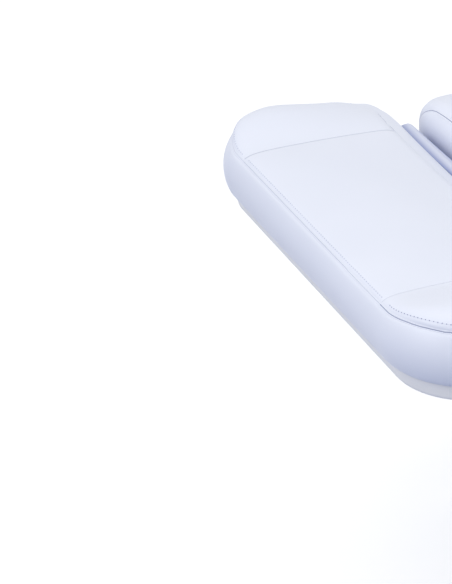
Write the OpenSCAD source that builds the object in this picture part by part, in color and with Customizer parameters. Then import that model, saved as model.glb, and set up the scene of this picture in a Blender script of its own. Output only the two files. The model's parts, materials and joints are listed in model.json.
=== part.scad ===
// Four-section treatment bed on a lifting column. Millimetres, +Z up.
// X runs along the bed from the head end (-X) to the foot end (+X). The origin is on the floor.

/* [Cushions] */
// Length of the head section between its end seams
head_len = 212; // [200:1:225]
// Length of the back section between its end seams
back_len = 520; // [500:1:540]
// Length of the seat section between its end seams
seat_len = 400; // [390:1:420]
// Length of the leg section between its end seams
leg_len = 562; // [540:1:590]
// Gap between the end seams of two sections
section_gap = 70; // [70:1:76]
// Full width of the cushions
bed_w = 620; // [600:1:640]
// Height of the cushion's edge seam above the floor, lowered
seam_z = 640; // [640:1:680]
// Depth of a cushion below its edge seam
cushion_depth = 64; // [60:1:66]
// Rise of the crowned top above the edge seam
crown = 8; // [4:1:12]
// How far the end faces bulge beyond their seams
end_bulge = 8; // [4:1:8]
// Plan radius of the two free ends
corner_r = 92; // [80:1:100]

/* [Boards and frames] */
// Thickness of the boards under the cushions
board_t = 18; // [15:1:20]
// Height of the frame tubes
tube_h = 40; // [38:1:42]
// Width of the frame tubes
tube_w = 25; // [22:1:26]
// Wall of the frame tubes
tube_wall = 2; // [1.5:0.5:3]
// Distance from the bed's middle line to the inner face of the long tubes
rail_y = 150; // [148:1:155]

/* [Hinges] */
// Depth of the hinge axes below the edge seam
hinge_drop = 27; // [26:1:29]
// Radius of the hinge pins
pin_r = 6; // [5:0.5:6]
// Thickness of the hinge plates
plate_t = 6; // [5:1:6]
// Thickness of the discs between two hinge plates
disc_t = 3; // [2:1:3]
// Half length of the vinyl hinge covers
cover_half = 245; // [235:1:250]

/* [Column and base] */
// Middle of the lifting column along the bed
column_x = 100; // [95:1:105]
// Length of the base cover
base_len = 1090; // [1060:1:1100]
// Width of the base cover
base_w = 544; // [530:1:550]
// Height of the base cover's top
base_h = 100; // [100:1:104]

/* [Control panel] */
// Radius of a push button
button_r = 7; // [6:0.5:7.5]
// Distance between two push buttons
button_pitch = 20; // [18:1:21]

/* [Hidden] */
$fn = 48;

fit = 0.05;                // radial clearance of a running fit
body_gap = 0.3;            // clearance between soft pieces
vinyl = [0.86, 0.88, 0.95];
board_grey = [0.82, 0.83, 0.85];
frame_grey = [0.75, 0.76, 0.78];
zinc = [0.7, 0.71, 0.72];
shell_white = [0.9, 0.9, 0.91];
dark = [0.16, 0.16, 0.17];

// Section ends, measured at the end seams.
bed_len = head_len + back_len + seat_len + leg_len + 3 * section_gap;
head_x0 = -bed_len / 2;
head_x1 = head_x0 + head_len;
back_x0 = head_x1 + section_gap;
back_x1 = back_x0 + back_len;
seat_x0 = back_x1 + section_gap;
seat_x1 = seat_x0 + seat_len;
leg_x0 = seat_x1 + section_gap;
leg_x1 = leg_x0 + leg_len;
head_pivot_x = head_x1 + section_gap / 2;
back_pivot_x = back_x1 + section_gap / 2;
leg_pivot_x = seat_x1 + section_gap / 2;
pivot_z = seam_z - hinge_drop;

board_top = seam_z - cushion_depth;
board_bottom = board_top - board_t;
rail_bottom = board_bottom - tube_h;
board_inset = 14;          // at the free ends and along the sides
board_inset_hinge = 16;    // at the hinge ends
rail_setback = 75;         // from a hinge axis to the end of the long tubes

// Hinge plates stack outwards from the long tubes.
plate_y = rail_y + tube_w;
disc_y = plate_y + plate_t;
arm_y = disc_y + disc_t;
eye_r = 11;

// Actuators: rear pivot, front pivot and side position.
back_act_a = [back_pivot_x + 140, pivot_z - 170];
back_act_b = [back_pivot_x - 130, pivot_z - 165];
leg_act_a = [leg_pivot_x - 390, pivot_z - 160];
leg_act_b = [leg_pivot_x + 110, pivot_z - 125];
back_act_y = -100;
leg_act_y = 100;
act_eye_r = 12;
act_pin_r = 5;
act_tube_r = 20;
act_rod_r = 10;
act_neck = 54;             // from the rear eye to the full tube, clear of the brackets
back_act_len = norm(back_act_b - back_act_a);
leg_act_len = norm(leg_act_b - leg_act_a);

head_plate_t = 8;
head_plate_z = rail_bottom - head_plate_t;
beam_h = 40;
foot_h = 12;
beam_top = foot_h + beam_h;
mount_plate_t = 8;
column_floor = beam_top + mount_plate_t;
outer_size = [170, 130];
inner_size = [150, 110];
column_wall = 4;
outer_top = 440;
inner_bottom = 70;
base_x0 = -base_len / 2 - 45;
base_x1 = base_x0 + base_len;
base_wall = 4;
base_r = 60;
cross_w = 60;
cross_x = [base_x0 + base_r, base_x1 - base_r - cross_w];
screw_z = foot_h + 18;

// Plan of a section: hw is the half width, ra and rb round the low and high X ends.
module plan(x0, x1, hw, ra, rb) {
    translate([x0 + ra, -hw]) square([x1 - rb - x0 - ra, 2 * hw]);
    translate([x0, -hw + ra]) square([ra + 0.01, 2 * (hw - ra)]);
    translate([x1 - rb - 0.01, -hw + rb]) square([rb + 0.01, 2 * (hw - rb)]);
    for (s = [-1, 1]) {
        translate([x0 + ra, s * (hw - ra)]) circle(ra);
        translate([x1 - rb, s * (hw - rb)]) circle(rb);
    }
}

// A slab of the cushion: in_x and in_y draw it in from the fullest outline.
module cushion_slab(x0, x1, ra, rb, in_x, in_y, z, t) {
    k = min(in_x, in_y);
    translate([0, 0, seam_z + z])
        linear_extrude(t)
            plan(x0 - end_bulge + in_x, x1 + end_bulge - in_x, bed_w / 2 - in_y,
                 max(ra - k, 8), max(rb - k, 8));
}

// A closed, crowned cushion with sides that roll down.
module cushion(x0, x1, ra, rb) {
    color(vinyl)
        hull($fn = 32) {
            cushion_slab(x0, x1, ra, rb, 16, 14, -cushion_depth, 1);
            cushion_slab(x0, x1, ra, rb, 1, 1, -cushion_depth + 14, 1);
            cushion_slab(x0, x1, ra, rb, 0, 0, -36, 10);
            cushion_slab(x0, x1, ra, rb, end_bulge - 1, 28, -2, 1);
            cushion_slab(x0, x1, ra, rb, end_bulge + 16, 74, crown - 1, 1);
        }
}

// Screw places of a section: two on each long tube, near its ends.
function screw_points(x0, x1) =
    [for (x = [x0 + 22, x1 - 22], s = [-1, 1]) [x, s * (rail_y + tube_w / 2)]];

// A board with blind holes for its screws.
module board(x0, x1, ra, rb, in_a, in_b, points) {
    color(board_grey)
        difference() {
            translate([0, 0, board_bottom])
                linear_extrude(board_t)
                    plan(x0 + in_a, x1 - in_b, bed_w / 2 - board_inset, ra, rb);
            for (p = points)
                translate([p[0], p[1], board_bottom - 1]) cylinder(h = 13, r = 3 + fit);
        }
}

// Board screws, from under the tubes up into the board.
module board_screws(points) {
    color(zinc)
        for (p = points)
            translate([p[0], p[1], rail_bottom - 4]) {
                cylinder(h = 4, r = 6);
                cylinder(h = 4 + tube_h + 11, r = 3);
            }
}

// Two long tubes and the crossbars between them, as separate hollow tubes.
module ladder(x0, x1, bars, points) {
    color(frame_grey) {
        for (s = [-1, 1])
            difference() {
                translate([x0, s > 0 ? rail_y : -rail_y - tube_w, rail_bottom])
                    cube([x1 - x0, tube_w, tube_h]);
                translate([x0 - 1, (s > 0 ? rail_y : -rail_y - tube_w) + tube_wall,
                           rail_bottom + tube_wall])
                    cube([x1 - x0 + 2, tube_w - 2 * tube_wall, tube_h - 2 * tube_wall]);
                for (p = points)
                    translate([p[0], p[1], rail_bottom - 1]) cylinder(h = tube_h + 2, r = 3 + fit);
            }
        for (x = bars)
            difference() {
                translate([x, -rail_y, rail_bottom]) cube([tube_w, 2 * rail_y, tube_h]);
                translate([x + tube_wall, -rail_y - 1, rail_bottom + tube_wall])
                    cube([tube_w - 2 * tube_wall, 2 * rail_y + 2, tube_h - 2 * tube_wall]);
            }
    }
}

// Lays a flat outline in the X-Z plane, between y0 and y1.
module upright(y0, y1) {
    translate([0, y1, 0]) rotate([90, 0, 0]) linear_extrude(y1 - y0) children();
}

// Outline of a hinge plate: eye, slanting bar and foot. side is 1 when it reaches to +X.
module hinge_outline(side) {
    circle(eye_r);
    polygon([[-side * 5, -3], [side * 34, -76], [side * 44, -64], [side * 5, 3]]);
    translate([side > 0 ? 32 : -150, -90]) square([118, 28]);
}

// A pair of hinge plates, one each side, between distances a and b from the middle line.
module hinge_pair(px, side, a, b, pad) {
    color(frame_grey)
        for (s = [-1, 1])
            difference() {
                union() {
                    translate([px, 0, pivot_z])
                        upright(s > 0 ? a : -b, s > 0 ? b : -a) hinge_outline(side);
                    if (pad)
                        translate([px + (side > 0 ? 90 : -150), s > 0 ? plate_y : -arm_y - 1,
                                   pivot_z - 90])
                            cube([60, arm_y - plate_y + 1, 28]);
                }
                translate([px, s > 0 ? a - 1 : -b - 1, pivot_z])
                    rotate([-90, 0, 0]) cylinder(h = b - a + 2, r = pin_r + fit);
            }
}

// Washers or friction discs between the plates of one hinge axis.
module discs(px) {
    for (s = [-1, 1])
        translate([px, s > 0 ? disc_y : -arm_y, pivot_z])
            rotate([-90, 0, 0])
                difference() {
                    cylinder(h = disc_t, r = eye_r - 0.5);
                    translate([0, 0, -1]) cylinder(h = disc_t + 2, r = pin_r + fit);
                }
}

// Headed hinge pins with a snap ring at the inner end.
module pins(px) {
    for (s = [-1, 1])
        translate([px, 0, pivot_z])
            rotate([s > 0 ? -90 : 90, 0, 0]) {
                translate([0, 0, plate_y - 4]) cylinder(h = arm_y + plate_t - plate_y + 7, r = pin_r);
                translate([0, 0, arm_y + plate_t + 0.3]) cylinder(h = 3, r = pin_r + 3);
                translate([0, 0, plate_y - 2.3]) cylinder(h = 2, r = pin_r + 2.5);
            }
}

// The arched vinyl cover above one hinge axis.
module hinge_cover(px) {
    color(vinyl)
        translate([px, -cover_half, pivot_z])
            rotate([-90, 0, 0])
                intersection() {
                    difference() {
                        cylinder(h = 2 * cover_half, r = eye_r + 3);
                        translate([0, 0, -1]) cylinder(h = 2 * cover_half + 2, r = eye_r + 1.6);
                    }
                    linear_extrude(2 * cover_half)
                        polygon([[0, 0], [-18, -20], [18, -20]]);
                }
}

// Places its children on an actuator's line: local +X runs from pivot a to pivot b.
module along(a, b, y) {
    translate([a[0], y, a[1]])
        rotate([0, -atan2(b[1] - a[1], b[0] - a[0]), 0]) children();
}

// Actuator tube with its rear eye and a front guide for the push rod.
module actuator_tube(a, b, y, tube_len) {
    color(frame_grey)
        along(a, b, y)
            difference() {
                union() {
                    translate([0, -11, 0]) rotate([-90, 0, 0]) cylinder(h = 22, r = act_eye_r);
                    translate([0, -11, -act_eye_r]) cube([act_neck + 1, 22, 2 * act_eye_r]);
                    translate([act_neck, 0, 0])
                        rotate([0, 90, 0]) cylinder(h = tube_len - act_neck, r = act_tube_r);
                }
                translate([0, -12, 0]) rotate([-90, 0, 0]) cylinder(h = 24, r = act_pin_r + fit);
                translate([act_neck + 8, 0, 0])
                    rotate([0, 90, 0]) cylinder(h = tube_len - act_neck - 20, r = act_rod_r + 4);
                translate([act_neck + 9, 0, 0])
                    rotate([0, 90, 0]) cylinder(h = tube_len, r = act_rod_r + fit);
            }
}

// Gear motor slung under the rear of an actuator tube.
module actuator_motor(a, b, y, under) {
    color(dark)
        along(a, b, y)
            mirror([0, 0, under ? 0 : 1]) {
                difference() {
                    translate([act_neck + 7, -18, -act_tube_r - 26]) cube([30, 36, 36]);
                    translate([act_neck, 0, 0])
                        rotate([0, 90, 0]) cylinder(h = 46, r = act_tube_r + fit);
                }
                translate([act_neck + 37, 0, -act_tube_r - 24])
                    rotate([0, 90, 0]) cylinder(h = 72, r = 22);
            }
}

// Push rod with an eye and a short cross pin that reaches towards the lug.
module push_rod(a, b, y, from, act_len, pin_side) {
    color(zinc)
        along(a, b, y) {
            translate([from, 0, 0]) rotate([0, 90, 0]) cylinder(h = act_len - from - 8, r = act_rod_r);
            difference() {
                translate([act_len, -6, 0]) rotate([-90, 0, 0]) cylinder(h = 12, r = act_eye_r);
                translate([act_len, -7, 0]) rotate([-90, 0, 0]) cylinder(h = 14, r = act_pin_r);
            }
            translate([act_len, pin_side > 0 ? -7 : -9, 0])
                rotate([-90, 0, 0]) cylinder(h = 16, r = act_pin_r);
        }
}

// Lug that the push rod's eye lines up with, hanging from a crossbar.
module actuator_lug(b, y0) {
    color(frame_grey)
        translate([b[0], 0, b[1]])
            upright(y0, y0 + plate_t)
                union() {
                    circle(15);
                    translate([-15, 0]) square([30, rail_bottom - b[1]]);
                }
}

// Hollow rectangular tube standing on z0.
module box_tube(size, wall, z0, z1) {
    translate([column_x, 0, 0])
        difference() {
            translate([-size[0] / 2, -size[1] / 2, z0]) cube([size[0], size[1], z1 - z0]);
            translate([-size[0] / 2 + wall, -size[1] / 2 + wall, z0 - 1])
                cube([size[0] - 2 * wall, size[1] - 2 * wall, z1 - z0 + 2]);
        }
}

head_screws = screw_points(head_x0 + 52, head_pivot_x - rail_setback);
back_screws = screw_points(back_x0 + 45, back_pivot_x - rail_setback);
seat_screws = screw_points(back_pivot_x + rail_setback, leg_pivot_x - rail_setback);
leg_screws = screw_points(leg_pivot_x + rail_setback, leg_x1 - 60);

module base_frame() {
    color(frame_grey) {
        for (x = cross_x)
            difference() {
                translate([x, -base_w / 2 + base_wall, foot_h])
                    cube([cross_w, base_w - 2 * base_wall, beam_h - 4]);
                translate([x + 3, -base_w / 2, foot_h + 3])
                    cube([cross_w - 6, base_w, beam_h - 10]);
            }
        for (s = [-1, 1])
            difference() {
                translate([cross_x[0] + cross_w, s > 0 ? 75 : -115, foot_h])
                    cube([cross_x[1] - cross_x[0] - cross_w, 40, beam_h]);
                translate([cross_x[0], (s > 0 ? 75 : -115) + 3, foot_h + 3])
                    cube([cross_x[1] - cross_x[0] + cross_w, 34, beam_h - 6]);
            }
        translate([column_x - 110, -125, beam_top]) cube([220, 250, mount_plate_t]);
    }
}

module base_feet() {
    color(dark)
        for (x = cross_x, s = [-1, 1])
            translate([x + cross_w / 2, s * 225, 0])
                union() {
                    cylinder(h = foot_h - 4, r = 26);
                    cylinder(h = foot_h, r = 20);
                }
}

module tube_end_plugs() {
    color(dark)
        for (x = cross_x, s = [-1, 1])
            difference() {
                translate([x + 3, s > 0 ? base_w / 2 - base_wall - 22 : -base_w / 2 + base_wall,
                           foot_h + 3])
                    cube([cross_w - 6, 22, beam_h - 10]);
                translate([x + cross_w / 2, s > 0 ? base_w / 2 + 1 : -base_w / 2 - 1, screw_z])
                    rotate([s > 0 ? 90 : -90, 0, 0]) cylinder(h = 24, r = 2 + fit);
            }
}

module base_cover() {
    color(shell_white)
        difference() {
            hull() {
                translate([0, 0, 15]) linear_extrude(50) plan(base_x0, base_x1, base_w / 2, base_r, base_r);
                translate([0, 0, base_h - 1])
                    linear_extrude(1)
                        plan(base_x0 + 26, base_x1 - 26, base_w / 2 - 26, base_r - 20, base_r - 20);
            }
            hull() {
                translate([0, 0, 14])
                    linear_extrude(50)
                        plan(base_x0 + base_wall, base_x1 - base_wall, base_w / 2 - base_wall,
                             base_r - base_wall, base_r - base_wall);
                translate([0, 0, base_h - base_wall - 1])
                    linear_extrude(1)
                        plan(base_x0 + 29, base_x1 - 29, base_w / 2 - 29, base_r - 22, base_r - 22);
            }
            translate([column_x - outer_size[0] / 2 - 3, -outer_size[1] / 2 - 3, base_h - 20])
                cube([outer_size[0] + 6, outer_size[1] + 6, 40]);
            translate([base_x1 - 10, -14.2, 27.8]) cube([20, 28.4, 24.4]);
            for (x = cross_x, s = [-1, 1])
                translate([x + cross_w / 2, s > 0 ? base_w / 2 + 1 : -base_w / 2 - 1, screw_z])
                    rotate([s > 0 ? 90 : -90, 0, 0]) cylinder(h = base_wall + 2, r = 2.4);
        }
}

module base_screws() {
    color(zinc)
        for (x = cross_x, s = [-1, 1])
            translate([x + cross_w / 2, s * base_w / 2, screw_z])
                rotate([s > 0 ? -90 : 90, 0, 0]) {
                    cylinder(h = 2.5, r = 5);
                    translate([0, 0, -20]) cylinder(h = 21, r = 2);
                }
}

module column_outer() {
    color(shell_white) box_tube(outer_size, column_wall, column_floor, outer_top);
}

// Guide pads between the two column tubes, two on each side.
module column_glides() {
    gap_x = (outer_size[0] - inner_size[0]) / 2 - column_wall;
    color(dark)
        translate([column_x, 0, outer_top - 50])
            for (s = [-1, 1], t = [-1, 1]) {
                translate([s > 0 ? inner_size[0] / 2 + fit : -inner_size[0] / 2 - gap_x, t * 30 - 12, 0])
                    cube([gap_x - fit, 24, 46]);
                translate([t * 45 - 12, s > 0 ? inner_size[1] / 2 + fit : -inner_size[1] / 2 - gap_x, 0])
                    cube([24, gap_x - fit, 46]);
            }
}

module lift_motor() {
    color(dark)
        translate([column_x, 0, column_floor])
            union() {
                cylinder(h = 18, r = 44);
                cylinder(h = 90, r = 38);
            }
}

module lift_spindle() {
    color(zinc)
        translate([column_x, 0, column_floor + 90])
            union() {
                cylinder(h = 12, r = 14);
                cylinder(h = 340, r = 9);
            }
}

module control_box() {
    color(dark)
        translate([-330, -100, beam_top])
            difference() {
                cube([190, 200, 34]);
                for (y = [30 : 20 : 170])
                    translate([12, y - 3, 32]) cube([60, 6, 3]);
            }
}

module mains_inlet() {
    color(dark)
        translate([base_x1, 0, 40])
            difference() {
                union() {
                    translate([-26, -14, -12]) cube([27, 28, 24]);
                    translate([0, -20, -16]) cube([3, 40, 32]);
                }
                translate([-14, -12, -8]) cube([20, 24, 16]);
            }
}

module column_inner() {
    color(zinc) box_tube(inner_size, column_wall, inner_bottom, head_plate_z);
}

// Push tube with the drive nut at its lower end, round the spindle.
module drive_tube() {
    color(frame_grey)
        translate([column_x, 0, 200])
            difference() {
                union() {
                    cylinder(h = head_plate_z - 200, r = 16);
                    cylinder(h = 34, r = 24);
                }
                translate([0, 0, -1]) cylinder(h = 40, r = 9 + fit);
                translate([0, 0, 34]) cylinder(h = head_plate_z - 200, r = 12);
            }
}

module column_head_plate() {
    color(frame_grey)
        translate([column_x - 100, -plate_y, head_plate_z]) cube([200, 2 * plate_y, head_plate_t]);
}

module seat_frame() {
    ladder(back_pivot_x + rail_setback, leg_pivot_x - rail_setback, [2, 218], seat_screws);
}

module seat_hinge_plates() {
    hinge_pair(back_pivot_x, 1, plate_y, plate_y + plate_t, false);
    hinge_pair(leg_pivot_x, -1, plate_y, plate_y + plate_t, false);
}

module seat_hinge_washers() {
    color(dark) {
        discs(back_pivot_x);
        discs(leg_pivot_x);
    }
}

module seat_hinge_pins() {
    color(zinc) {
        pins(back_pivot_x);
        pins(leg_pivot_x);
    }
}

module back_hinge_cover() hinge_cover(back_pivot_x);

module leg_hinge_cover() hinge_cover(leg_pivot_x);

module seat_board() {
    board(seat_x0, seat_x1, 10, 10, board_inset_hinge, board_inset_hinge, seat_screws);
}

module seat_cushion() cushion(seat_x0, seat_x1, 16, 16);

module seat_board_screws() board_screws(seat_screws);

// Clevis plates under the column's head plate, a pair for each actuator.
module actuator_brackets() {
    color(frame_grey)
        for (spec = [[back_act_a, back_act_y], [leg_act_a, leg_act_y]], s = [-1, 1])
            difference() {
                translate([0, spec[1] + (s > 0 ? 11.5 : -17.5), 0])
                    upright(0, 6)
                        union() {
                            translate(spec[0]) circle(16);
                            polygon([[spec[0][0] - 16, spec[0][1]], [spec[0][0] + 16, spec[0][1]],
                                     [60, head_plate_z - 6], [60, head_plate_z],
                                     [0, head_plate_z], [spec[0][0] - 16, spec[0][1] + 6]]);
                        }
                translate([spec[0][0], spec[1] - 20, spec[0][1]])
                    rotate([-90, 0, 0]) cylinder(h = 40, r = act_pin_r + fit);
            }
}

module actuator_pins() {
    color(zinc)
        for (spec = [[back_act_a, back_act_y], [leg_act_a, leg_act_y]])
            translate([spec[0][0], spec[1], spec[0][1]])
                rotate([-90, 0, 0]) {
                    translate([0, 0, -20]) cylinder(h = 40, r = act_pin_r);
                    for (z = [-21, 18]) translate([0, 0, z]) cylinder(h = 3, r = act_pin_r + 3);
                }
}

panel_x = column_x - 75;
panel_y = -bed_w / 2 + 24;
panel_depth = 34;
panel_h = 46;
function button_pos(i) = [panel_x + 25 + i * button_pitch, board_bottom - panel_h / 2];

module control_panel() {
    color(dark)
        difference() {
            translate([panel_x, panel_y, board_bottom - panel_h]) cube([150, panel_depth, panel_h]);
            for (i = [0 : 5])
                translate([button_pos(i)[0], panel_y - 1, button_pos(i)[1]])
                    rotate([-90, 0, 0]) cylinder(h = 13, r = button_r + fit);
        }
}

module button(i) {
    color(shell_white)
        translate([button_pos(i)[0], panel_y - 3, button_pos(i)[1]])
            rotate([-90, 0, 0]) cylinder(h = 12, r = button_r);
}

module back_frame() {
    ladder(back_x0 + 45, back_pivot_x - rail_setback, [back_x0 + 60, back_act_b[0] - tube_w / 2],
           back_screws);
}

module back_hinge_arms() hinge_pair(back_pivot_x, -1, arm_y, arm_y + plate_t, true);

module head_hinge_plates() hinge_pair(head_pivot_x, 1, plate_y, plate_y + plate_t, false);

module head_friction_discs() {
    color(dark) discs(head_pivot_x);
}

module head_hinge_pins() {
    color(zinc) pins(head_pivot_x);
}

module head_hinge_cover() hinge_cover(head_pivot_x);

module back_board() {
    board(back_x0, back_x1, 10, 10, board_inset_hinge, board_inset_hinge, back_screws);
}

module back_cushion() cushion(back_x0, back_x1, 16, 16);

module back_board_screws() board_screws(back_screws);

module back_actuator_lug() actuator_lug(back_act_b, back_act_y + 12);

module head_frame() {
    ladder(head_x0 + 52, head_pivot_x - rail_setback, [head_x0 + 60], head_screws);
}

module head_hinge_arms() hinge_pair(head_pivot_x, -1, arm_y, arm_y + plate_t, true);

module head_board() {
    board(head_x0, head_x1, corner_r - 12, 10, board_inset, board_inset_hinge, head_screws);
}

module head_cushion() cushion(head_x0, head_x1, corner_r, 16);

module head_board_screws() board_screws(head_screws);

module leg_frame() {
    ladder(leg_pivot_x + rail_setback, leg_x1 - 60, [leg_act_b[0] - tube_w / 2, leg_x1 - 95],
           leg_screws);
}

module leg_hinge_arms() hinge_pair(leg_pivot_x, 1, arm_y, arm_y + plate_t, true);

module leg_board() {
    board(leg_x0, leg_x1, 10, corner_r - 12, board_inset_hinge, board_inset, leg_screws);
}

module leg_cushion() cushion(leg_x0, leg_x1, 16, corner_r);

module leg_board_screws() board_screws(leg_screws);

module leg_actuator_lug() actuator_lug(leg_act_b, leg_act_y - 18);

module back_actuator_tube() actuator_tube(back_act_a, back_act_b, back_act_y, 240);

module back_actuator_motor() actuator_motor(back_act_a, back_act_b, back_act_y, false);

module back_push_rod() push_rod(back_act_a, back_act_b, back_act_y, act_neck + 14, back_act_len, 1);

module leg_actuator_tube() actuator_tube(leg_act_a, leg_act_b, leg_act_y, 310);

module leg_actuator_motor() actuator_motor(leg_act_a, leg_act_b, leg_act_y, true);

module leg_push_rod() push_rod(leg_act_a, leg_act_b, leg_act_y, 230, leg_act_len, -1);

base_frame();
base_feet();
tube_end_plugs();
base_cover();
base_screws();
column_outer();
column_glides();
lift_motor();
lift_spindle();
control_box();
mains_inlet();
column_inner();
drive_tube();
column_head_plate();
seat_frame();
seat_hinge_plates();
seat_hinge_washers();
seat_hinge_pins();
back_hinge_cover();
leg_hinge_cover();
seat_board();
seat_cushion();
seat_board_screws();
actuator_brackets();
actuator_pins();
control_panel();
back_frame();
back_hinge_arms();
head_hinge_plates();
head_friction_discs();
head_hinge_pins();
head_hinge_cover();
back_board();
back_cushion();
back_board_screws();
back_actuator_lug();
head_frame();
head_hinge_arms();
head_board();
head_cushion();
head_board_screws();
leg_frame();
leg_hinge_arms();
leg_board();
leg_cushion();
leg_board_screws();
leg_actuator_lug();
back_actuator_tube();
back_actuator_motor();
back_push_rod();
leg_actuator_tube();
leg_actuator_motor();
leg_push_rod();
button(0);  // button_bed_up
button(1);  // button_bed_down
button(2);  // button_back_up
button(3);  // button_back_down
button(4);  // button_leg_up
button(5);  // button_leg_down
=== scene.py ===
"""Looks of the four-section treatment bed: upholstery, hinge covers, materials, light and camera."""
import json
import math

import bmesh
import bpy
import numpy as np
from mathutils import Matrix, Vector
from mathutils.bvhtree import BVHTree
from mathutils.kdtree import KDTree


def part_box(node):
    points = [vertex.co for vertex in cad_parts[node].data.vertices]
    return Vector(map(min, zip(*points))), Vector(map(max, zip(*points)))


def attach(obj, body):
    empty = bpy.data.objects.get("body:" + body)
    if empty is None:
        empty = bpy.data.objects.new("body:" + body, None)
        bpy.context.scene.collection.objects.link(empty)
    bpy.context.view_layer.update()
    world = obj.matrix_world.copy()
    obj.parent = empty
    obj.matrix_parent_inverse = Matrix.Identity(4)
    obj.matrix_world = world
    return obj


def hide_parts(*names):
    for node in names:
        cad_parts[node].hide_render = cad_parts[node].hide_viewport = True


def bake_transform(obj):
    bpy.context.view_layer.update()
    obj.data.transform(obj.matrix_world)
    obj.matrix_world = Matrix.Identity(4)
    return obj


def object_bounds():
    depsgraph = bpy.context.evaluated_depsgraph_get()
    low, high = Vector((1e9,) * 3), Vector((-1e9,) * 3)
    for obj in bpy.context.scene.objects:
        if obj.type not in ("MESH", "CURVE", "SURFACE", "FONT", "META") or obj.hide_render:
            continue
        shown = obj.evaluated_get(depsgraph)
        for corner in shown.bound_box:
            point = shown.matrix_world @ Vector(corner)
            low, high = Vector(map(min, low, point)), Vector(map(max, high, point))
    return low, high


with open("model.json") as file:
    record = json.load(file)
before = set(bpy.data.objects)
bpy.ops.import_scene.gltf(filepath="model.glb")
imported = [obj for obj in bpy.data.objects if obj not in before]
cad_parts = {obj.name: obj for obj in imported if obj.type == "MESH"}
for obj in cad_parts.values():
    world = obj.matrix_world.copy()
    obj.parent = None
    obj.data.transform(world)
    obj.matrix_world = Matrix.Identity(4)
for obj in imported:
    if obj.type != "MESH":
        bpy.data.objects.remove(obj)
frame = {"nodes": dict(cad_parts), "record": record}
cad_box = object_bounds()

MM = 0.001
SECTIONS = ("head", "back", "seat", "leg")
BODY_OF = {"head": "head_section", "back": "back_section", "seat": "carriage", "leg": "leg_section"}
FREE_END = {"head": -1, "back": 0, "seat": 0, "leg": 1}   # which X end of the section is free

# Upholstery, in metres. Heights are measured from the edge seam.
BULGE = 8 * MM              # the walls stand this far out from the seam
FREE_R = 100 * MM           # plan radius of a free end's corners
BOARD_FREE_R = 78 * MM      # and of the board under it
BOARD_R = 16 * MM           # and of a board's other corners
HINGE_R = 24 * MM           # plan radius of a free-ended section's hinge corners
MIDDLE_R = 70 * MM          # plan radius of the middle sections' corners
NOSE = 27 * MM              # a free-ended section's hinge end rolls out below its seam, by up to this
NOSE_MIDDLE, NOSE_SIDES = 0.62, 0.31   # share of it at the middle, and how much more at the sides
NOSE_DEPTH = 12 * MM        # how far below the seam it stands out most
ROLL_Y = 216 * MM           # where the rolled sides of the middle sections begin
ROLL_A, ROLL_B = 98 * MM, 66 * MM      # half axes of their ellipse, across and down
SLOPE_Y, SLOPE = 238 * MM, 0.29   # the short end section's sides only slope down
CROSS_SEAM_Y = 193 * MM
WIDEST = 30 * MM            # depth of the fullest outline below the seam
PANEL_RISE = 6.0 * MM       # quick rise just inside the seam
CROWN_RISE = 3.0 * MM       # slow rise towards the middle, on a free-ended section
MIDDLE_CROWN_RISE = 7.0 * MM
TUCK = 9 * MM               # how far the walls are drawn in where they meet the board
CAP_PUFF, FAR_PUFF = 10.0 * MM, 7.0 * MM    # the side caps of a free end are blown up between seams
NEAR_LIFT, FAR_LIFT = 6.0 * MM, 11.0 * MM   # and the head section's corners stand this much higher
FOOT_LIFT = 8.0 * MM        # the foot section's corners, alike on both sides
SAG = 8.0 * MM              # a free-ended section's hinge end dips this much at its middle
FOLD_SAG = 5.0 * MM         # so do the hinge covers, which are thinner
FOLD_END_DROP = 8.0 * MM    # how far their crest sits down at the ends
HINGE_DIP = 5.0 * MM        # the top falls this much to the seam of a hinge end
STITCH_INSET = 5.5 * MM
STITCH_PITCH = 4.8 * MM
CUSHION_DEPTH = 64 * MM     # from the edge seam down to the board
HINGE_DROP = 27 * MM        # from the edge seam down to the hinge axes
END_LENGTH = 212 * MM       # nominal length of the head section, along the bed
FOLD_THICKNESS = 1.2 * MM
FOLD_CLEARANCE = 2 * MM     # from a fold's surface, before it is thickened, to the upholstery
CLOTH_FRAMES = 20
CLOTH_REACH = 5 * MM        # the simulation may move the skin by at most this

floor_z = cad_box[0][2]
head_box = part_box("head_cushion")
BOARD_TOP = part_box("head_board")[1][2]
SEAM_Z = BOARD_TOP + CUSHION_DEPTH
DEPTH = SEAM_Z - BOARD_TOP


# ---------------------------------------------------------------- camera and light

def aim_camera():
    """The camera looks past the head end from its near side, as a product shot does."""
    azimuth, elevation, distance = math.radians(-22.44), math.radians(29.17), 2.4145
    aim = Vector((head_box[0][0] + BULGE - 0.1442, -0.1061, SEAM_Z))
    back = Vector((math.sin(azimuth) * math.cos(elevation),
                   -math.cos(azimuth) * math.cos(elevation), math.sin(elevation)))
    data = bpy.data.cameras.new("camera")
    data.lens = 135.6
    data.sensor_width = 36
    camera = bpy.data.objects.new("camera", data)
    camera.location = aim + back * distance
    camera.rotation_euler = (-back).to_track_quat("-Z", "Y").to_euler()
    bpy.context.collection.objects.link(camera)
    bpy.context.scene.camera = camera


def area_light(name, place, target, size, power, color=(1, 1, 1)):
    data = bpy.data.lights.new(name, "AREA")
    data.shape = "RECTANGLE"
    data.size, data.size_y = size
    data.energy = power
    data.color = color
    light = bpy.data.objects.new(name, data)
    light.location = place
    light.rotation_euler = (Vector(target) - Vector(place)).to_track_quat("-Z", "Y").to_euler()
    bpy.context.collection.objects.link(light)


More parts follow.
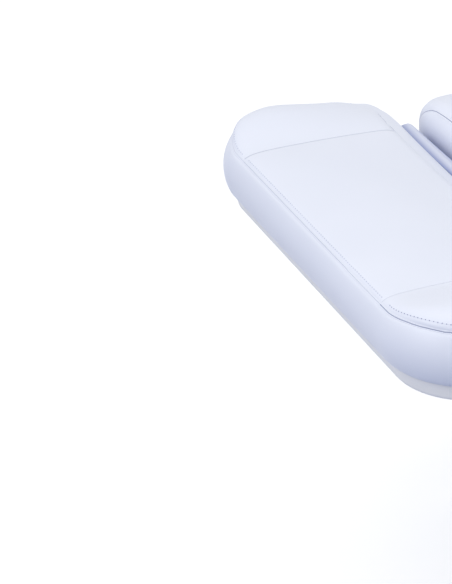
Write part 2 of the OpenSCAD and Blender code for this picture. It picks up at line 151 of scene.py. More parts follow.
def light_scene():
    world = bpy.data.worlds.new("studio")
    world.use_nodes = True
    tree = world.node_tree
    background = tree.nodes["Background"]
    coords = tree.nodes.new("ShaderNodeTexCoord")
    axes = tree.nodes.new("ShaderNodeSeparateXYZ")
    height = tree.nodes.new("ShaderNodeMapRange")
    height.inputs["From Min"].default_value = -0.25
    height.inputs["From Max"].default_value = 0.25
    ramp = tree.nodes.new("ShaderNodeValToRGB")
    ramp.color_ramp.elements[0].position = 0.3
    ramp.color_ramp.elements[0].color = (0.13, 0.18, 0.36, 1)
    ramp.color_ramp.elements[1].position = 0.55
    ramp.color_ramp.elements[1].color = (0.76, 0.77, 0.79, 1)
    tree.links.new(coords.outputs["Generated"], axes.inputs["Vector"])
    tree.links.new(axes.outputs["Z"], height.inputs["Value"])
    tree.links.new(height.outputs["Result"], ramp.inputs["Fac"])
    tree.links.new(ramp.outputs["Color"], background.inputs["Color"])
    bpy.context.scene.world = world
    area_light("top_light", (-0.9, -0.3, 3.2), (-0.2, 0, 0.6), (2.6, 2.2), 10)
    area_light("key_light", (-3.2, -0.9, 1.9), (-0.6, 0, 0.6), (1.8, 1.8), 20)
    area_light("fill_light", (1.6, -3.4, 1.7), (0, 0, 0.5), (2.0, 1.6), 12)
    bpy.context.scene.view_settings.view_transform = "Standard"


# ---------------------------------------------------------------- materials

class Nodes:
    """A small helper to write a node material in a few lines."""

    def __init__(self, name):
        self.mat = bpy.data.materials.new(name)
        self.mat.use_nodes = True
        self.tree = self.mat.node_tree
        self.shader = self.tree.nodes["Principled BSDF"]
        self.coords = self.add("ShaderNodeTexCoord").outputs["Object"]

    def add(self, kind, **values):
        node = self.tree.nodes.new(kind)
        for key, value in values.items():
            setattr(node, key, value)
        return node

    def link(self, a, b):
        self.tree.links.new(a, b)

    def noise(self, scale, detail=3.0, rough=0.5, stretch=(1, 1, 1)):
        mapping = self.add("ShaderNodeMapping")
        mapping.inputs["Scale"].default_value = stretch
        self.link(self.coords, mapping.inputs["Vector"])
        node = self.add("ShaderNodeTexNoise")
        node.inputs["Scale"].default_value = scale
        node.inputs["Detail"].default_value = detail
        node.inputs["Roughness"].default_value = rough
        self.link(mapping.outputs["Vector"], node.inputs["Vector"])
        return node.outputs["Fac"]

    def cells(self, scale):
        node = self.add("ShaderNodeTexVoronoi", feature="DISTANCE_TO_EDGE")
        node.inputs["Scale"].default_value = scale
        self.link(self.coords, node.inputs["Vector"])
        return node.outputs["Distance"]

    def ramp(self, fac, low, high, a=0.35, b=0.65):
        node = self.add("ShaderNodeValToRGB")
        node.color_ramp.elements[0].position = a
        node.color_ramp.elements[0].color = (*low, 1)
        node.color_ramp.elements[1].position = b
        node.color_ramp.elements[1].color = (*high, 1)
        self.link(fac, node.inputs["Fac"])
        return node.outputs["Color"]

    def range(self, fac, low, high):
        node = self.add("ShaderNodeMapRange")
        node.inputs["To Min"].default_value = low
        node.inputs["To Max"].default_value = high
        self.link(fac, node.inputs["Value"])
        return node.outputs["Result"]

    def color(self, fac, low, high, a=0.35, b=0.65):
        self.link(self.ramp(fac, low, high, a, b), self.shader.inputs["Base Color"])

    def roughness(self, fac, low, high):
        self.link(self.range(fac, low, high), self.shader.inputs["Roughness"])

    def bump(self, *layers):
        """layers are (height socket, strength, distance in metres), chained."""
        normal = None
        for height, strength, distance in layers:
            node = self.add("ShaderNodeBump")
            node.inputs["Strength"].default_value = strength
            node.inputs["Distance"].default_value = distance
            self.link(height, node.inputs["Height"])
            if normal is not None:
                self.link(normal, node.inputs["Normal"])
            normal = node.outputs["Normal"]
        self.link(normal, self.shader.inputs["Normal"])

    def set(self, **values):
        for key, value in values.items():
            self.shader.inputs[key.replace("_", " ")].default_value = value
        return self


def vinyl(name, low, high):
    """Coated vinyl: a faint leather grain, slow colour drift and a soft sheen."""
    m = Nodes(name)
    m.color(m.noise(6, 2), low, high)
    m.roughness(m.noise(45, 3), 0.36, 0.46)
    m.bump((m.cells(900), 0.10, 0.00025), (m.noise(2200, 2), 0.10, 0.00012), (m.noise(9, 2), 0.25, 0.002))
    m.set(Coat_Weight=0.12, Coat_Roughness=0.3, Specular_IOR_Level=0.42, Sheen_Weight=0.08)
    return m.mat


def fold_vinyl_painted_shade():
    """The hinge covers' thinner vinyl, with painted shade: pale on the crest, a dull blue painted shadow lower on
    the flanks where it tucks into the gap.
    """
    m = Nodes("fold_vinyl_painted_shade")
    # painted shade: the per-vertex "crest" value darkens the fold to dull blue low on its flanks and in the gap
    shade = m.add("ShaderNodeAttribute")
    shade.attribute_name = "crest"
    m.color(shade.outputs["Fac"], (0.34, 0.39, 0.62), (0.77, 0.80, 0.91), 0.0, 1.0)
    m.roughness(m.noise(45, 3), 0.38, 0.48)
    m.bump((m.cells(900), 0.10, 0.00025), (m.noise(2200, 2), 0.10, 0.00012))
    m.set(Coat_Weight=0.1, Coat_Roughness=0.3)
    return m.mat


def plastic(name, low, high, rough=(0.38, 0.5), grain=0.12):
    """Moulded plastic with a fine spark-eroded grain."""
    m = Nodes(name)
    m.color(m.noise(14, 3), low, high)
    m.roughness(m.noise(60, 3), *rough)
    m.bump((m.noise(1500, 2), grain, 0.0002), (m.noise(12, 2), 0.08, 0.001))
    return m.mat


def paint(name, low, high, metallic=0.0, rough=(0.3, 0.42)):
    """Powder coat with its fine orange peel."""
    m = Nodes(name)
    m.color(m.noise(10, 3), low, high)
    m.roughness(m.noise(90, 3), *rough)
    m.bump((m.noise(420, 2), 0.10, 0.0003),)
    m.set(Metallic=metallic, Coat_Weight=0.15, Coat_Roughness=0.25)
    return m.mat


def metal(name, low, high, rough, stretch=(1, 1, 1), scale=300):
    """Bare or plated metal, with drawing marks along the stretched axis."""
    m = Nodes(name)
    marks = m.noise(scale, 4, 0.6, stretch)
    m.color(marks, low, high)
    m.roughness(marks, *rough)
    m.bump((marks, 0.06, 0.0001),)
    m.set(Metallic=1.0)
    return m.mat


VINYL = vinyl("vinyl", (0.800, 0.828, 0.925), (0.818, 0.845, 0.940))
# painted shade: darker vinyl laid in the seam creases, in a dark, a softer and a pale grade for seams more or less
# in shadow
CREASE_PAINTED_SHADE = vinyl("crease_painted_shade", (0.26, 0.29, 0.44), (0.32, 0.35, 0.50))
CREASE_PAINTED_SHADE_SOFT = vinyl("crease_painted_shade_soft", (0.54, 0.57, 0.69), (0.60, 0.63, 0.74))
CREASE_PAINTED_SHADE_PALE = vinyl("crease_painted_shade_pale", (0.66, 0.69, 0.80), (0.72, 0.75, 0.85))
THREAD = plastic("thread", (0.80, 0.83, 0.93), (0.84, 0.87, 0.96), (0.5, 0.6), 0.3)
# painted shade: dark dots standing for the shade inside the needle holes, in a pale and a dark grade
NEEDLE_HOLE_PAINTED_SHADE_PALE = plastic("needle_hole_painted_shade_pale", (0.56, 0.59, 0.72), (0.62, 0.65, 0.77), (0.6, 0.7), 0.2)
NEEDLE_HOLE_PAINTED_SHADE = plastic("needle_hole_painted_shade", (0.30, 0.33, 0.48), (0.36, 0.39, 0.54), (0.6, 0.7), 0.2)

FOLD_VINYL_PAINTED_SHADE = fold_vinyl_painted_shade()
EDGE_BAND = plastic("edge_band", (0.84, 0.835, 0.835), (0.88, 0.875, 0.875), (0.3, 0.4), 0.08)

CAD_MATERIALS = {
    "board_white": plastic("board_white", (0.50, 0.51, 0.55), (0.54, 0.55, 0.59), (0.3, 0.4), 0.06),
    "frame_paint": paint("frame_paint", (0.60, 0.61, 0.63), (0.63, 0.64, 0.66)),
    "shell_white": plastic("shell_white", (0.86, 0.865, 0.875), (0.88, 0.885, 0.895), (0.34, 0.42), 0.16),
    "column_paint": paint("column_paint", (0.80, 0.81, 0.83), (0.82, 0.83, 0.85)),
    "anodised": metal("anodised", (0.62, 0.63, 0.65), (0.70, 0.71, 0.73), (0.28, 0.4), (1, 1, 0.02), 220),
    "zinc_steel": metal("zinc_steel", (0.50, 0.51, 0.52), (0.62, 0.63, 0.64), (0.25, 0.45)),
    "rod_steel": metal("rod_steel", (0.60, 0.61, 0.62), (0.68, 0.69, 0.70), (0.10, 0.2), (0.05, 1, 1), 400),
    "black_plastic": plastic("black_plastic", (0.022, 0.022, 0.025), (0.035, 0.035, 0.04), (0.42, 0.6), 0.3),
    "button_grey": plastic("button_grey", (0.66, 0.67, 0.70), (0.72, 0.73, 0.76), (0.3, 0.4), 0.1),
    "rubber": plastic("rubber", (0.016, 0.016, 0.017), (0.028, 0.028, 0.029), (0.7, 0.85), 0.35),
}


def dress_cad_nodes():
    """Gives every CAD node the procedural material of its slot."""
    slot_of = {s["node"]: s["material_slot"] for s in frame["record"]["subparts"]}
    for name, obj in frame["nodes"].items():
        material = CAD_MATERIALS.get(slot_of[name], VINYL)
        for index in range(max(1, len(obj.material_slots))):
            if obj.material_slots:
                obj.material_slots[index].material = material
            else:
                obj.data.materials.append(material)


# ---------------------------------------------------------------- meshes

def link_mesh(name, verts, faces, materials, face_material=None):
    mesh = bpy.data.meshes.new(name)
    mesh.from_pydata([tuple(v) for v in verts], [], [tuple(f) for f in faces])
    for material in materials:
        mesh.materials.append(material)
    if face_material is not None:
        mesh.polygons.foreach_set("material_index", face_material)
    mesh.polygons.foreach_set("use_smooth", [True] * len(mesh.polygons))
    mesh.update()
    obj = bpy.data.objects.new(name, mesh)
    bpy.context.collection.objects.link(obj)
    return obj


def get_points(mesh):
    flat = np.empty(len(mesh.vertices) * 3)
    mesh.vertices.foreach_get("co", flat)
    return flat.reshape(-1, 3)


def set_points(mesh, points):
    mesh.vertices.foreach_set("co", points.ravel())
    mesh.update()


def get_normals(mesh):
    flat = np.empty(len(mesh.vertices) * 3)
    mesh.vertices.foreach_get("normal", flat)
    return flat.reshape(-1, 3)


class Cushion:
    """Shape of one section's upholstery, in metres in the row frame."""

    def __init__(self, section):
        low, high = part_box(section + "_cushion")
        self.section = section
        self.x0, self.x1 = low[0] + BULGE, high[0] - BULGE      # end seams
        self.free = FREE_END[section]
        self.half = high[1] + (3 * MM if self.free else -6 * MM)
        self.crown = CROWN_RISE if self.free else MIDDLE_CROWN_RISE
        self.mid = (self.x0 + self.x1) / 2

    def radius(self, x):
        hinge_r = HINGE_R if self.free else MIDDLE_R
        low_r = FREE_R if self.free == -1 else hinge_r
        high_r = FREE_R if self.free == 1 else hinge_r
        return np.where(x < self.mid, low_r, high_r)

    def inside(self, x, y):
        """Distance inside the fullest plan outline."""
        r = self.radius(x)
        qx = np.abs(x - self.mid) - ((self.x1 - self.x0) / 2 + BULGE - r)
        qy = np.abs(y) - (self.half - r)
        outside = np.hypot(np.maximum(qx, 0), np.maximum(qy, 0)) + np.minimum(np.maximum(qx, qy), 0) - r
        return -outside

    def roll_weight(self, x):
        """1 where the sides roll down, 0 at a free end, where a boxed wall stands."""
        if self.free == 0:
            return np.ones_like(x)
        to_hinge = (self.x1 - x) if self.free == -1 else (x - self.x0)
        return np.clip(1.03 - to_hinge / (64 * MM), 0, 1) ** 2

    def free_share(self, x):
        """1 at the free end, falling to 0 one head section's length away from it."""
        if self.free == 0:
            return np.zeros_like(x)
        from_free = (x - self.x0) if self.free == -1 else (self.x1 - x)
        return np.clip(1 - from_free / END_LENGTH, 0, 1)

    def roll(self, y):
        """How far the rolled or sloping sides fall below the middle of the top."""
        if self.free:
            k = 12 * MM
            return SLOPE * k * np.log1p(np.exp((np.abs(y) - SLOPE_Y) / k))
        u = np.clip((np.abs(y) - ROLL_Y) / ROLL_A, 0, 0.985)
        return ROLL_B * (1 - np.sqrt(1 - u * u))

    def sag(self, y):
        """How far a free-ended section's hinge end dips."""
        return (SAG if self.free else 0) * np.clip(1 - (y / (235 * MM)) ** 2, 0, 1)

    def top(self, x, y):
        """Height of the upper surface."""
        w = self.roll_weight(x)
        t = np.maximum(self.inside(x, y) - BULGE + 70 * MM * w, 0)
        quick = np.where(y > CROSS_SEAM_Y, 12 * MM, 6 * MM) if self.section == "head" else 6 * MM
        rise = PANEL_RISE * (1 - np.exp(-t / quick)) + self.crown * (1 - np.exp(-t / (40 * MM)))
        if self.free:
            c = np.clip((np.abs(y) - CROSS_SEAM_Y) / (80 * MM), 0, 1)
            c = c * c * (3 - 2 * c)
            share = self.free_share(x)
            lift = np.clip((share - 0.1) / 0.6, 0, 1)
            far, near = (FAR_LIFT, NEAR_LIFT) if self.section == "head" else (FOOT_LIFT, FOOT_LIFT)
            lift = lift * lift * (3 - 2 * lift) * np.where(y > 0, far, near)
            puff = np.where(y > 0, FAR_PUFF, CAP_PUFF) if self.section == "head" else CAP_PUFF
            rise = rise + puff * c * (1 - np.exp(-t / (12 * MM))) * np.sqrt(share) + lift * c
        rise = rise - w * HINGE_DIP * np.exp(-np.maximum(self.inside(x, y) - BULGE, 0) / (4 * MM))
        return SEAM_Z + rise - w * (self.roll(y) + self.sag(y))

    def wall(self, z):
        """How far the wall is drawn in from the fullest outline at a height."""
        h = z - (SEAM_Z - WIDEST)
        above = BULGE * np.clip(h / WIDEST, 0, 1.15) ** 2
        below = TUCK * np.clip(-h / (DEPTH - WIDEST), 0, 1.1) ** 2
        return np.where(h > 0, above, below)

    def nose(self, x, y, z):
        """How far the hinge end stands out beyond its outline, in X."""
        if self.free == 0:
            return np.zeros_like(x)
        to_hinge = (self.x1 - x) if self.free == -1 else (x - self.x0)
        ramp = np.clip(1 - (to_hinge + 8 * MM) / (50 * MM), 0, 1)
        depth = z - (SEAM_Z - NOSE_DEPTH - self.sag(y))
        bump = np.exp(-(depth / np.where(depth > 0, 13 * MM, 9 * MM)) ** 2)
        return -self.free * NOSE * (NOSE_MIDDLE + NOSE_SIDES * (y / self.half) ** 2) * bump * ramp * ramp

    def field(self, p):
        """Signed field: below zero inside the cushion."""
        x, y, z = p[:, 0], p[:, 1], p[:, 2]
        x = x - self.nose(x, y, z)
        parts = np.stack([z - self.top(x, y), self.wall(z) - self.inside(x, y), SEAM_Z - DEPTH - z])
        k = (2.5 * MM + 2.0 * MM * self.roll_weight(x))[None, :]
        peak = parts.max(axis=0)
        return peak + k[0] * np.log(np.exp((parts - peak) / k).sum(axis=0)) - k[0] * 0.1

    def snap(self, p):
        """Moves points onto the surface along the field's gradient."""
        step = 0.5 * MM
        for _ in range(4):
            f = self.field(p)
            grad = np.stack([(self.field(p + d) - self.field(p - d)) / (2 * step)
                             for d in np.eye(3) * step], axis=1)
            length = np.maximum((grad ** 2).sum(axis=1), 0.2)
            p = p - (np.clip(f, -8 * MM, 8 * MM) / length)[:, None] * grad
        return p

    def box_mesh(self, pitch):
        """A closed quad box round the section, ready to be snapped."""
        bm = bmesh.new()
        low_x = self.x0 - BULGE - (20 * MM if self.free == 1 else 0)
        high_x = self.x1 + BULGE + (20 * MM if self.free == -1 else 0)
        size = (high_x - low_x, 2 * self.half, DEPTH + 6 * MM)
        counts = [max(4, round(s / pitch)) for s in size]
        index = {}

        def vert(i, j, k):
            key = (i, j, k)
            if key not in index:
                index[key] = bm.verts.new((low_x + size[0] * i / counts[0],
                                           -self.half + size[1] * j / counts[1],
                                           SEAM_Z - DEPTH + size[2] * k / counts[2]))
            return index[key]

        nx, ny, nz = counts
        for i in range(nx):
            for j in range(ny):
                bm.faces.new([vert(i, j, 0), vert(i, j + 1, 0), vert(i + 1, j + 1, 0), vert(i + 1, j, 0)])
                bm.faces.new([vert(i, j, nz), vert(i + 1, j, nz), vert(i + 1, j + 1, nz), vert(i, j + 1, nz)])
            for k in range(nz):
                bm.faces.new([vert(i, 0, k), vert(i + 1, 0, k), vert(i + 1, 0, k + 1), vert(i, 0, k + 1)])
                bm.faces.new([vert(i, ny, k), vert(i, ny, k + 1), vert(i + 1, ny, k + 1), vert(i + 1, ny, k)])
        for j in range(ny):
            for k in range(nz):
                bm.faces.new([vert(0, j, k), vert(0, j, k + 1), vert(0, j + 1, k + 1), vert(0, j + 1, k)])
                bm.faces.new([vert(nx, j, k), vert(nx, j + 1, k), vert(nx, j + 1, k + 1), vert(nx, j, k + 1)])
        mesh = bpy.data.meshes.new(self.section + "_cushion_skin")
        bm.to_mesh(mesh)
        bm.free()
        return mesh


def smooth_values(mesh, values, rounds, weight=0.5):
    """Averages per-vertex values along the mesh's edges."""
    edges = np.empty(len(mesh.edges) * 2, dtype=np.int64)
    mesh.edges.foreach_get("vertices", edges)
    a, b = edges.reshape(-1, 2).T
    count = np.bincount(np.concatenate([a, b]), minlength=len(values)).astype(float)[:, None]
    for _ in range(rounds):
        total = np.zeros_like(values)
        np.add.at(total, a, values[b])
        np.add.at(total, b, values[a])
        values = values * (1 - weight) + total / count * weight
    return values


# ---------------------------------------------------------------- seams

def arc(cx, cy, r, start, end, steps):
    """Points on a circle, from one angle to another in degrees."""
    return [(cx + r * math.cos(math.radians(a)), cy + r * math.sin(math.radians(a)))
            for a in np.linspace(start, end, steps)]


def even(points, pitch):
    """Resamples a path at an even pitch."""
    points = np.array(points, dtype=float)
    run = np.concatenate([[0], np.cumsum(np.linalg.norm(np.diff(points, axis=0), axis=1))])
    count = max(2, int(round(run[-1] / pitch)) + 1)
    places = np.linspace(0, run[-1], count)
    return np.stack([np.interp(places, run, points[:, k]) for k in range(3)], axis=1)


def hinge_end_path(c, x):
    """Seam of a hinge end: over the top and down the rolled sides."""
    side = np.array([(0, 10), (195, 10), (221, 7), (233, 3.5), (246, -4), (257, -13), (265, -23), (270, -36),
                     (272, -58)])
    ys = np.linspace(0, side[-1, 0], 140)
    zs = np.interp(ys, side[:, 0], side[:, 1])
    smooth = np.convolve(np.pad(zs, 6, "edge"), np.ones(13) / 13, "valid")
    half = [(x, y * MM, SEAM_Z + z * MM - c.sag(y * MM)) for y, z in zip(ys, smooth)]
    return [(x, -y, z) for x, y, z in half[:0:-1]] + half


def free_end_path(c, inset=0.0):
    """Seam of a free end: along the end, round both corners and down the sides."""
    sign = c.free
    end = (c.x0 if sign < 0 else c.x1) - sign * inset
    r = FREE_R - BULGE - inset
    half = c.half - BULGE - inset
    cx = end - sign * r
    cy = half - r
    side_end = (c.x1 - 10 * MM) if sign < 0 else (c.x0 + 10 * MM)
    low = arc(cx, -cy, r, 270, 180 if sign < 0 else 360, 30)
    high = arc(cx, cy, r, 180 if sign < 0 else 0, 90, 30)
    plan = [(x, -half) for x in np.linspace(side_end, cx, 40)[:-1]] + low + high
    plan += [(x, half) for x in np.linspace(cx, side_end, 40)[1:]]
    plan = np.array(plan)
    z = c.top(plan[:, 0], plan[:, 1]) - (PANEL_RISE * 0.2)
    return [(p[0], p[1], h) for p, h in zip(plan, z)]


def cross_path(c, y):
    """Seam that runs along a section."""
    xs = np.linspace(c.x0 + 2 * MM, c.x1 - 2 * MM, 80)
    z = c.top(xs, np.full_like(xs, y))
    return [(x, y, h) for x, h in zip(xs, z)]


def seams_of(c):
    """(kind, path) for every seam of a cushion."""
    seams = []
    if c.free:
        seams.append(("edge", free_end_path(c)))
    for x in [x for x, end in ((c.x0, -1), (c.x1, 1)) if end != c.free]:
        seams.append(("edge", hinge_end_path(c, x)))
    for y in (-CROSS_SEAM_Y, CROSS_SEAM_Y):
        seams.append(("cross", cross_path(c, y)))
    return [(kind, even(path, 2.0 * MM)) for kind, path in seams]


def surface_tree(mesh, points):
    return BVHTree.FromPolygons([tuple(p) for p in points], [tuple(f.vertices) for f in mesh.polygons])


def on_surface(tree, points):
    """Closest points and normals on a surface."""
    found = [tree.find_nearest(Vector(p)) for p in points]
    return np.array([f[0] for f in found]), np.array([f[1] for f in found])


# Cross sections of the seams: across and up, in mm.
EDGE_PROFILE = ((-3.0, -0.95), (-1.5, -0.30), (-0.7, -0.30), (-0.5, -0.62), (0.5, -0.62), (0.7, -0.30),
                (1.5, -0.30), (3.0, -0.95))
FINE_PROFILE = ((-3.0, -0.95), (-1.3, -0.30), (-0.5, -0.40), (-0.32, -0.62), (0.32, -0.62), (0.5, -0.40),
                (1.3, -0.30), (3.0, -0.95))
CROSS_PROFILE = ((-3.4, -0.95), (-1.7, -0.45), (-0.9, -0.45), (-0.8, -0.62), (0.8, -0.62), (0.9, -0.40),
                 (1.7, -0.35), (3.6, -0.95))
CREASE_STRIP = 3            # the strip of a profile that lies in the crease and takes the painted crease shade


def seam_strip(name, tree, path, profile, crease, side=1):
    """A narrow sewn seam laid on the surface: two rolled lips and the crease between them, painted darker as shade.
    """
    spots, normals = on_surface(tree, path)
    for _ in range(3):
        spots[1:-1] = (spots[:-2] + 2 * spots[1:-1] + spots[2:]) / 4
        normals[1:-1] = (normals[:-2] + 2 * normals[1:-1] + normals[2:]) / 4
    normals /= np.linalg.norm(normals, axis=1)[:, None]
    along = np.gradient(spots, axis=0)
    along /= np.linalg.norm(along, axis=1)[:, None]
    across = np.cross(along, normals) * side
    width = len(profile)
    verts = np.concatenate([spots + across * (u * MM) + normals * ((h + 0.9) * MM) for u, h in profile])
    count = len(spots)
    faces, materials = [], []
    for k in range(width - 1):
        for i in range(count - 1):
            quad = (k * count + i, k * count + i + 1, (k + 1) * count + i + 1, (k + 1) * count + i)
            faces.append(quad if side > 0 else quad[::-1])
            materials.append(1 if k == CREASE_STRIP else 0)
    return link_mesh(name, verts, faces, [VINYL, crease], materials)


def stitch_row(name, tree, path, hole):
    """Topstitching: a raised thread between two needle holes, over and over; the holes are small beads painted dark
    as shade.
    """
    spots, normals = on_surface(tree, even(path, STITCH_PITCH))
    verts, faces, materials = [], [], []

    def bead(a, b, n, radius, material):
        """A short rounded bar from a to b, with n pointing away from the surface."""
        axis = b - a
        length = np.linalg.norm(axis)
        axis = axis / length
        side = np.cross(axis, n)
        start = len(verts)
        rings = ((0.0, 0.25), (0.15, 0.8), (0.5, 1.0), (0.85, 0.8), (1.0, 0.25))
        for t, w in rings:
            for q in range(6):
                angle = math.tau * q / 6
                offset = side * math.cos(angle) + n * math.sin(angle)
                verts.append(a + axis * (length * t) + offset * (radius * w))
        for k in range(len(rings) - 1):
            for q in range(6):
                r = (q + 1) % 6
                faces.append((start + k * 6 + q, start + k * 6 + r,
                              start + (k + 1) * 6 + r, start + (k + 1) * 6 + q))
                materials.append(material)
        faces.append(tuple(start + q for q in range(5, -1, -1)))
        faces.append(tuple(start + (len(rings) - 1) * 6 + q for q in range(6)))
        materials.extend([material, material])

    for a, b, n in zip(spots[:-1], spots[1:], normals[:-1]):
        gap = (b - a) * 0.14
        bead(a + gap + n * 0.10 * MM, b - gap + n * 0.10 * MM, n, 0.38 * MM, 0)
        bead(a - gap * 0.8, a + gap * 0.8, n, 0.70 * MM, 1)
    return link_mesh(name, verts, faces, [THREAD, hole], materials)


# ---------------------------------------------------------------- cushions

def distance_to(targets, points):
    """Distance from each point to the nearest target."""
    tree = KDTree(len(targets))
    for i, p in enumerate(targets):
        tree.insert(p, i)
    tree.balance()
    return np.array([tree.find(p)[2] for p in points])


def inflate(mesh, seam_points, c, cap):
    """Cloth simulation under pressure, held at the board and along the seams."""
    rest = get_points(mesh)
    near = distance_to(seam_points, rest)
    hold = np.clip(1.0 - (near - 5 * MM) / (5 * MM), 0, 1)
    hold[rest[:, 2] < SEAM_Z - DEPTH + 4 * MM] = 1
    obj = bpy.data.objects.new("cloth_" + c.section, mesh)
    bpy.context.collection.objects.link(obj)
    group = obj.vertex_groups.new(name="held")
    for i in np.nonzero(hold > 0.02)[0]:
        group.add([int(i)], float(hold[i]), "REPLACE")
    modifier = obj.modifiers.new("cloth", "CLOTH")
    s = modifier.settings
    s.quality = 5
    s.mass = 0.3
    s.tension_stiffness = s.compression_stiffness = 25
    s.shear_stiffness = 10
    s.bending_stiffness = 2.0
    s.use_pressure = True
    s.uniform_pressure_force = 4.0
    s.vertex_group_mass = "held"
    s.effector_weights.gravity = 0
    modifier.collision_settings.use_collision = False
    modifier.point_cache.frame_start, modifier.point_cache.frame_end = 1, CLOTH_FRAMES
    scene = bpy.context.scene
    for number in range(1, CLOTH_FRAMES + 1):
        scene.frame_set(number)
    evaluated = obj.evaluated_get(bpy.context.evaluated_depsgraph_get())
    moved = get_points(evaluated.data) - rest
    scene.frame_set(1)
    obj.modifiers.clear()
    bpy.data.objects.remove(obj)
    length = np.linalg.norm(moved, axis=1)[:, None]
    moved *= np.minimum(1, cap / np.maximum(length, 1e-9))
    return rest + smooth_values(mesh, moved, 2)


def subdivide(mesh, levels):
    obj = bpy.data.objects.new("subdivide", mesh)
    bpy.context.collection.objects.link(obj)
    modifier = obj.modifiers.new("subdivision", "SUBSURF")
    modifier.levels = levels
    evaluated = obj.evaluated_get(bpy.context.evaluated_depsgraph_get())
    fine = bpy.data.meshes.new_from_object(evaluated)
    bpy.data.objects.remove(obj)
    return fine


def groove(mesh, seam_points, depth, width):
    """Draws the skin in along the seams."""
    points, normals = get_points(mesh), get_normals(mesh)
    near = distance_to(seam_points, points)
    points -= normals * (depth * np.exp(-(near / width) ** 2))[:, None]
    set_points(mesh, points)


def make_cushion(section):
    c = Cushion(section)
    pitch = 8 * MM if section == "head" else 11 * MM
    mesh = c.box_mesh(pitch)
    points = get_points(mesh)
    for _ in range(6):
        points = c.snap(smooth_values(mesh, points, 2, 0.4))
    set_points(mesh, points)
    seams = seams_of(c)
    seam_points = np.concatenate([path for _, path in seams])
    tree = surface_tree(mesh, points)
    seam_points = on_surface(tree, seam_points)[0]
    set_points(mesh, inflate(mesh.copy(), seam_points, c, CLOTH_REACH))
    mesh = subdivide(mesh, 2)
    plain = surface_tree(mesh, get_points(mesh))
    groove(mesh, on_surface(plain, seam_points)[0], 0.9 * MM, 3.0 * MM)
    mesh.materials.clear()
    mesh.materials.append(VINYL)
    mesh.polygons.foreach_set("use_smooth", [True] * len(mesh.polygons))
    name = section + "_upholstery"
    mesh.name = name
    piece = bpy.data.objects.new(name, mesh)
    bpy.context.collection.objects.link(piece)
    tree = surface_tree(mesh, get_points(mesh))
    extras = []
    for number, (kind, path) in enumerate(seams):
        label = f"{section}_{kind}_seam_{number}"
        if kind == "cross":
            side = -1 if path[0][1] < 0 else 1
            # painted shade: the near cross seam gets the pale crease shade, the far one on a free end the darker
            # soft shade
            crease = CREASE_PAINTED_SHADE_PALE if side < 0 or not c.free else CREASE_PAINTED_SHADE_SOFT
            extras.append(seam_strip(label, tree, path, CROSS_PROFILE, crease, side))
            continue
        cuts = [0, *(np.nonzero(np.diff(np.abs(path[:, 1]) > CROSS_SEAM_Y))[0] + 1), len(path)]
        for part, (start, stop) in enumerate(zip(cuts[:-1], cuts[1:])):
            piece_path = path[max(0, start - 1):stop]
            middle_y = piece_path[len(piece_path) // 2][1]
            main = abs(middle_y) < CROSS_SEAM_Y
            far = section == "head" and number == 0 and middle_y > CROSS_SEAM_Y
            fine = (main or far) and c.free != 0
            # painted shade: the crease is darkest on the near cap, softer along the main panel, pale on the head's
            # far cap where light falls on it
            crease = CREASE_PAINTED_SHADE_PALE if far else CREASE_PAINTED_SHADE_SOFT if main else CREASE_PAINTED_SHADE
            profile = FINE_PROFILE if fine else EDGE_PROFILE
            crease = crease if c.free else CREASE_PAINTED_SHADE
            extras.append(seam_strip(f"{label}_{part}", tree, piece_path, profile, crease))
    for number, path in enumerate(stitch_paths(c)):
        # painted shade: dark needle holes on the near cap row and the leg's cap rows, pale ones elsewhere
        dark = number == 1 or (section == "leg" and number)
        hole = NEEDLE_HOLE_PAINTED_SHADE if dark else NEEDLE_HOLE_PAINTED_SHADE_PALE
        extras.append(stitch_row(f"{section}_topstitch_{number}", tree, path, hole))
    for extra in extras:
        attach(extra, BODY_OF[section])
    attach(piece, BODY_OF[section])
    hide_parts(section + "_cushion")


def stitch_paths(c):
    """Rows of topstitching just inside the edge seam, broken at the cross seams."""
    if not c.free:
        return []
    path = even(free_end_path(c, STITCH_INSET), 1.0 * MM)
    clear = 5 * MM
    y = path[:, 1]
    keep_z = path[:, 2] > SEAM_Z - WIDEST
    return [path[(y > -CROSS_SEAM_Y + clear) & (y < CROSS_SEAM_Y - clear)],
            path[(y < -CROSS_SEAM_Y - 2 * clear) & keep_z],
            path[(y > CROSS_SEAM_Y + 2 * clear) & keep_z]]


# ---------------------------------------------------------------- board edges

def make_edge_band(section):
    """Plastic edge banding pressed onto the rim of a board."""
    low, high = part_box(section + "_board")
    free = FREE_END[section]
    radii = {end: BOARD_FREE_R if free == end else BOARD_R for end in (-1, 1)}
    plan = []
    for cx, sx, sy, start in ((high[0], 1, 1, 0), (low[0], -1, 1, 90), (low[0], -1, -1, 180), (high[0], 1, -1, 270)):
        r = radii[sx]
        plan += arc(cx - sx * r, sy * (high[1] - r), r, start, start + 90, 16)
    plan = np.array(plan)
    along = np.roll(plan, -1, axis=0) - np.roll(plan, 1, axis=0)
    out = np.stack([along[:, 1], -along[:, 0]], axis=1) / np.linalg.norm(along, axis=1)[:, None]
    bottom, top = low[2], high[2]
    profile = [(-1.0, bottom - 0.9 * MM), (1.0, bottom - 0.9 * MM), (1.9, bottom + 0.2 * MM), (2.1, bottom + 3 * MM),
               (2.1, top - 3 * MM), (1.9, top - 0.4 * MM), (1.0, top + 0.3 * MM), (-1.0, top + 0.3 * MM)]
    verts = [(x + n * u * MM, y + m * u * MM, z) for u, z in profile for (x, y), (n, m) in zip(plan, out)]
    count, faces = len(plan), []
    for k in range(len(profile)):
        for i in range(count):
            j, q = (i + 1) % count, (k + 1) % len(profile)
            faces.append((k * count + i, k * count + j, q * count + j, q * count + i))
    band = link_mesh(section + "_board_edge", verts, faces, [EDGE_BAND])
    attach(band, BODY_OF[section])


# ---------------------------------------------------------------- hinge covers

